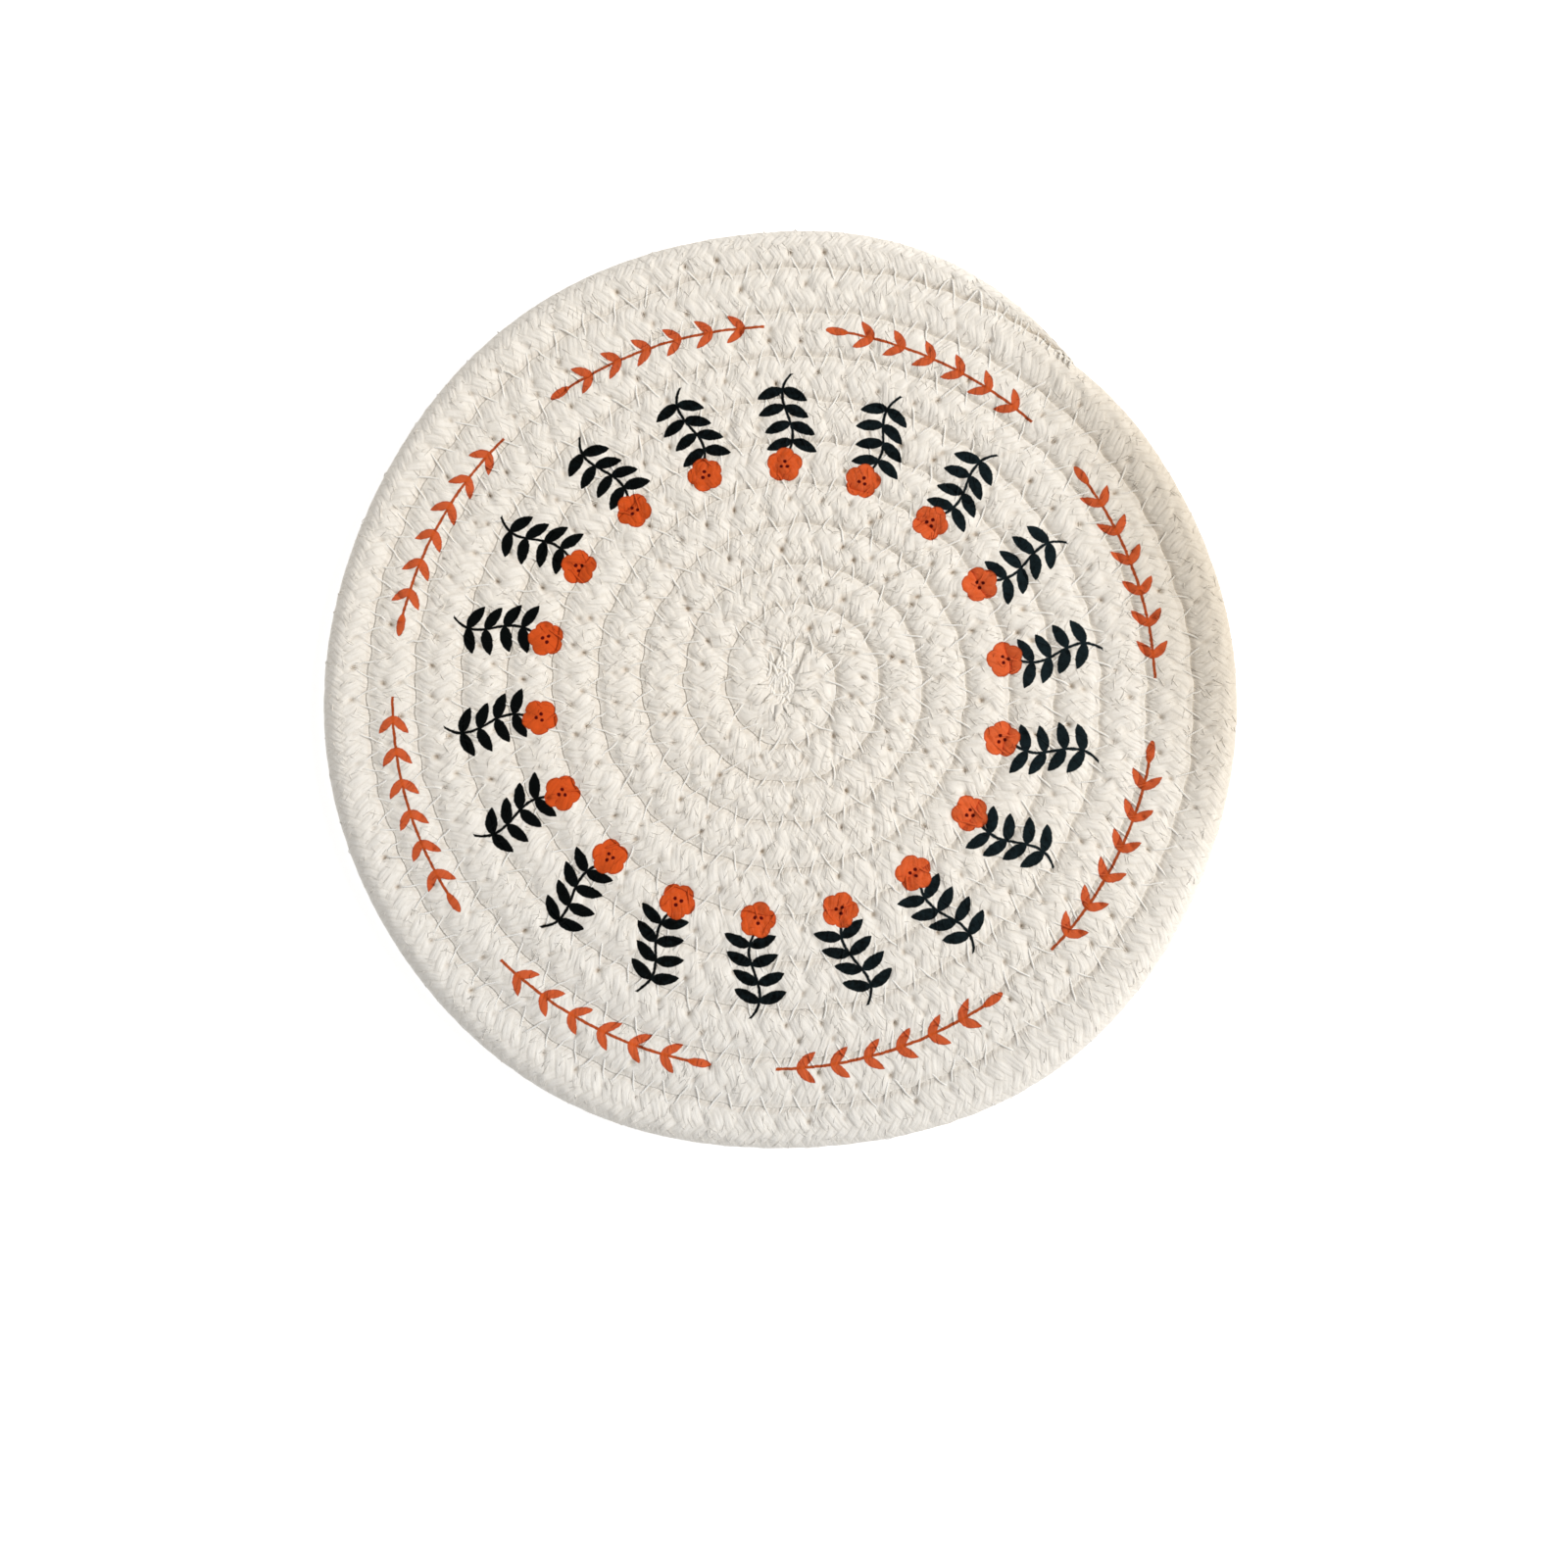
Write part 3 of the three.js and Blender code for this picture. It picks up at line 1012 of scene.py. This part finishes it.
def nap_paths(points, count, first_side, last_side, seed):
    """Three-point paths that follow the strands' slant on the surface, with their middles
    lifted off it and swayed."""
    random = np.random.default_rng(seed)
    ahead, about, normal = surface_steps(points)
    ring_step = np.linalg.norm(ahead, axis=-1).mean()
    side_step = np.linalg.norm(about[:, top_points], axis=-1).mean()

    slant = np.arctan2(rope_girth, braid_lay) * random.choice([-1, 1], count)
    slant = slant + random.normal(0, nap_slant_spread, count)
    length = random.uniform(*nap_length, count)
    rings = np.abs(length * np.cos(slant)) / ring_step
    sides = length * np.sin(slant) / side_step
    last_ring = len(points) - 1 - nap_from_ends - rings.max()
    ring = random.uniform(nap_from_ends, last_ring, count)
    side = random.uniform(first_side, last_side, count)
    side = np.clip(side, first_side + np.maximum(-sides, 0), last_side - np.maximum(sides, 0))
    share = np.array([0, 0.5, 1])
    ring = ring[:, None] + rings[:, None] * share
    side = side[:, None] + sides[:, None] * share
    lift = random.uniform(nap_least_lift, 1, count)[:, None] * nap_lift * nap_lift_shares
    sway = random.normal(0, nap_sway, (count, 3)) * (0, 1, 0)
    place = on_grid(points, ring, side) + on_grid(normal, ring, side) * lift[..., None]
    return place + np.stack([sway, -sway, np.zeros_like(sway)], axis=-1)


def wear_colour(tree, finish, wear, shade, cream):
    """Colours yarn from shade to cream by its wear, under the print."""
    share = (wear * wear_contrast - wear_shade).within(0, 1)
    colour = blend(tree, share, shade, cream)
    tree.links.new(printed(tree, colour), finish.inputs["Base Color"])


loose_cotton, tree, finish, along, around = start_material("loose_cotton", 0.95)
wear = noise(tree, along * loose_grain, around * loose_grain, loose_layer)
add_bump(tree, finish, wear, loose_bump)
wear_colour(tree, finish, wear, loose_shade, loose_cream)

paths = []
fibres_each = nap_fibres // len(rope_points)
for seed, (name, points) in enumerate(rope_points.items()):
    first = first_on_rim if name == "rope_rim" else first_on_face
    paths.append(nap_paths(points, fibres_each, first, last_on_face, seed))
paths = np.concatenate(paths)
points = round_tube(paths, nap_radius * np.array(nap_taper), nap_sides)
places = tube_places(paths, nap_radius, nap_sides)
mesh = tube_mesh("nap", points, places, 1, nap_columns)
add_piece("nap", mesh, loose_cotton)

# The curled start: the rope's first end, cut across, opens into loose yarns in the middle of
# the mat. They are packed under the curl and stand up out of it as a rough tuft.
packing_middle = (2.0 * mm, 2.4 * mm)
packing_size = (6.2 * mm, 9.4 * mm)
packing_low, packing_high = 0.6 * mm, 7.15 * mm
packing_rings, packing_sides, packing_steepest = 15, 40, 0.99
packing_lumps = ((0.05, 5, 3), (0.04, 9, -2))
packing_ripple, ripples_round, ripples_up = 0.25 * mm, 4, 3
tuft_middle = (0.7 * mm, -0.2 * mm)
tuft_size = (4.0 * mm, 7.6 * mm)
tuft_yarns = 150
tuft_lean, tuft_lean_spread = 72, 30
tuft_length, tuft_low, tuft_rise = (2.0 * mm, 3.8 * mm), (6.5 * mm, 6.95 * mm), 0.28 * mm
yarn_radius, yarn_taper = 0.31 * mm, (0.7, 1, 1, 1, 0.85, 0.4)
yarn_curl, yarn_arch = 0.35, 0.8
yarn_sides, yarn_columns = 6, 8


def packing():
    """A lumpy upright cushion: level rings whose width and height go by a rounded square's
    edge, |x|^3 + |z|^3 = 1. Lumps are sines of a height, their number round it and a slant."""
    tilt = np.linspace(-packing_steepest, packing_steepest, packing_rings)[:, None] * np.pi / 2
    angle = np.linspace(0, 2 * np.pi, packing_sides, endpoint=False)[None, :]
    up = np.sign(tilt) * np.abs(np.sin(tilt)) ** (2 / 3)
    lumps = sum(high * np.sin(count * angle + slant * up) for high, count, slant in packing_lumps)
    width = np.cos(tilt) ** (2 / 3) * (1 + lumps)
    x = packing_middle[0] + packing_size[0] * width * np.cos(angle)
    y = packing_middle[1] + packing_size[1] * width * np.sin(angle)
    z = (packing_low + packing_high) / 2 + (packing_high - packing_low) / 2 * up
    z = z + packing_ripple * np.sin(ripples_round * angle + 1) * np.sin(ripples_up * width)
    points = np.stack(np.broadcast_arrays(x, y, z), axis=-1)[None]
    places = np.concatenate([points, points[:, :, :1]], axis=2)[..., 1::-1]
    return points, places


def add_frayed(name, starts, ways, length, low, rise, random):
    """Frayed yarns with thinning ends, as one piece: each leaves the surface at its start,
    arches over by the rise, curling a little from its way, and comes back down."""
    share = np.linspace(0, 1, len(yarn_taper))
    reach = random.uniform(*length, len(starts))[:, None] * share
    low = random.uniform(*low, len(starts))[:, None]
    angle = ways[:, None] + random.normal(0, yarn_curl, len(starts))[:, None] * share
    flat = starts[:, None, :] + reach[..., None] * level_unit(angle)
    paths = raised(flat, low + np.sin(np.pi * share**yarn_arch) * rise)
    points = round_tube(paths, yarn_radius * np.array(yarn_taper), yarn_sides)
    places = tube_places(paths, yarn_radius, yarn_sides)
    mesh = tube_mesh(name, points, places, 1, yarn_columns)
    add_piece(name, mesh, loose_cotton)


points, places = packing()
mesh = tube_mesh("packed_start", points, places, 1)
add_piece("packed_start", mesh, cotton)
random = np.random.default_rng(21)
angle = random.uniform(0, 2 * np.pi, tuft_yarns)
out = np.sqrt(random.uniform(0, 1, tuft_yarns))
starts = tuft_middle + tuft_size * (out[:, None] * level_unit(angle))
ways = np.radians(random.normal(tuft_lean, tuft_lean_spread, tuft_yarns))
ways = ways * random.choice([1, -1], tuft_yarns)
add_frayed("frayed_start", starts, ways, tuft_length, tuft_low, tuft_rise, random)

# The sewing: one zigzag of cotton thread on each face of the mat, from the cut end in to the
# curled start. It dives into a hole at each side of the seam and draws the rope in there.
thread_radius = 0.22 * mm
thread_sides = 5
thread_rows = 60
thread_lay, thread_plies, ply_height = 1.3 * mm, 3, 0.05 * mm
thread_across = np.array([0.0, 0.3, 0.6, 0.8, 1.0])
thread_under_face = (-0.3 * mm, 0.1 * mm, 0.34 * mm, 0.75 * mm, 1.6 * mm)
thread_sink = 0.25 * mm
thread_bow = 0.25 * mm
bow_luck, sink_luck = 0.2, 0.7
thread_cream = (0.94, 0.915, 0.87)
thread_shade = (0.86, 0.825, 0.76)
thread_grains, thread_layer = (400, 800), 3.0


def zigzag(face):
    """Path of the thread on the upper face (1) or the lower one (-1). Its count of stitches
    grows evenly. It lies outside the seam at whole counts and inside it half way between."""
    stitches = np.arange(np.ceil(stitch_counts[-1]))
    arm = np.concatenate([thread_across[::-1], -thread_across[1:-1]])
    across = np.tile(np.concatenate([arm, -arm]), len(stitches))
    count = (1 - arm) / 4
    count = np.add.outer(stitches, np.concatenate([count, count + 0.5])).ravel()
    inside = (count < stitch_counts[-1]) & (count > stitch_count(tail_sewn))
    count, across = count[inside], across[inside]
    number = np.arange(len(count)) // len(arm)
    bow = (luck(number + bow_luck * face) - 0.5) * 2 * thread_bow * (1 - across**2)
    turn = np.interp(count, stitch_counts, seam_turns)
    turn = turn + bow / stitch_span(turn) * np.gradient(turn) / np.gradient(count)
    at, outwards = seam_frame(turn)
    at = at + outwards * (across * needle_reach)[:, None]
    above = face_height(1 - 2 * needle_reach * np.abs(across) / rope_width)
    above = above - np.interp(np.abs(across), thread_across, thread_under_face)
    above = above - thread_sink * luck(number + sink_luck) * (1 - across**2)
    return raised(at, mat_thickness / 2 + face * above)


def add_thread(name, path, radius, rows):
    """A sewn thread. Its map is as wide round as the zigzag's, so that its plies close up."""
    points = round_tube(path[None], radius, thread_sides)
    places = tube_places(path[None], thread_radius, thread_sides)
    mesh = tube_mesh(name, points, places, rows)
    add_piece(name, mesh, thread)


thread, tree, finish, along, around = start_material("thread", 0.85)
twist = along / thread_lay + around / (2 * np.pi * thread_radius)
add_bump(tree, finish, (twist * (thread_plies * np.pi)).sine().size(), ply_height)
wear = noise(tree, along * thread_grains[0], around * thread_grains[1], thread_layer)
wear_colour(tree, finish, wear, thread_shade, thread_cream)
for name, face in (("zigzag_above", 1), ("zigzag_below", -1)):
    add_thread(name, zigzag(face), thread_radius, thread_rows)

# The cut end: the rope's last end narrows beside the turn inside it and is sewn down to it
# with a close zigzag, and a few of its yarns show past the sewing
tail_arms, tail_arm_steps = 28, 6
tail_group = 4
tail_sewn_from = 0.001
tail_unevenness, tail_uneven_rate = 0.0004, 2.7
tail_reach_in = 1.6 * mm
tail_rim_margin = 1.0 * mm
tail_least_reach, tail_most_reach = 0.4 * mm, 3.6 * mm
tail_thread_radius, tail_thread_rows = 0.27 * mm, 12
tail_across = (0, 0.3, 0.7, 1)
tail_thread_under = (-0.12 * mm, 0.0, 0.12 * mm, 0.9 * mm)
tail_back_under = 1.0 * mm
tail_yarns, tail_yarn_turns = 8, (0.001, 0.009)
tail_yarns_outwards, tail_yarn_spread = (-1.2 * mm, 0.1 * mm), 0.35
tail_yarn_length, tail_yarn_low = (1.4 * mm, 2.8 * mm), (5.6 * mm, 6.2 * mm)
tail_yarn_rise = 0.7 * mm


def close_zigzag():
    """Path over the cut end: from holes in the turn inside it to holes by its rim. Every
    second arm, and each group's last, is drawn into the cotton."""
    share = np.linspace(-1, 1, tail_arm_steps + 1)[:-1]
    across = np.tile(np.concatenate([share, -share]), tail_arms // 2)
    arm = np.arange(len(across)) / tail_arm_steps
    turn = tail_sewn_from + (tail_sewn - tail_sewn_from) * arm / tail_arms
    turn = turn + tail_unevenness * np.sin(arm * tail_uneven_rate)
    at, outwards = seam_frame(turn)
    width = np.linalg.norm(seam(turn - 1) - at, axis=-1)
    reach_out = np.clip(width - tail_rim_margin, tail_least_reach, tail_most_reach)
    from_seam = np.where(across < 0, across * tail_reach_in, across * reach_out)
    place = np.where(across < 0, 1 + 2 * from_seam / rope_width, 2 * from_seam / width - 1)
    height = np.where(across < 0, 1, np.sqrt(fullness(turn)))
    above = face_height(place) * height + mat_thickness / 2
    above = above - np.interp(np.abs(across), tail_across, tail_thread_under)
    hidden = (arm % 2 >= 1) | (arm // 2 % tail_group == tail_group - 1)
    above = above - tail_back_under * hidden * (1 - across**2)
    return raised(at + outwards * from_seam[:, None], above)


add_thread("tail_zigzag", close_zigzag(), tail_thread_radius, tail_thread_rows)

random = np.random.default_rng(8)
at, outwards = seam_frame(random.uniform(*tail_yarn_turns, tail_yarns))
starts = at + outwards * random.uniform(*tail_yarns_outwards, tail_yarns)[:, None]
ways = np.arctan2(-outwards[:, 0], outwards[:, 1])
ways = ways + random.normal(0, tail_yarn_spread, tail_yarns)
yarns = (tail_yarn_length, tail_yarn_low, tail_yarn_rise)
add_frayed("frayed_tail", starts, ways, *yarns, random)
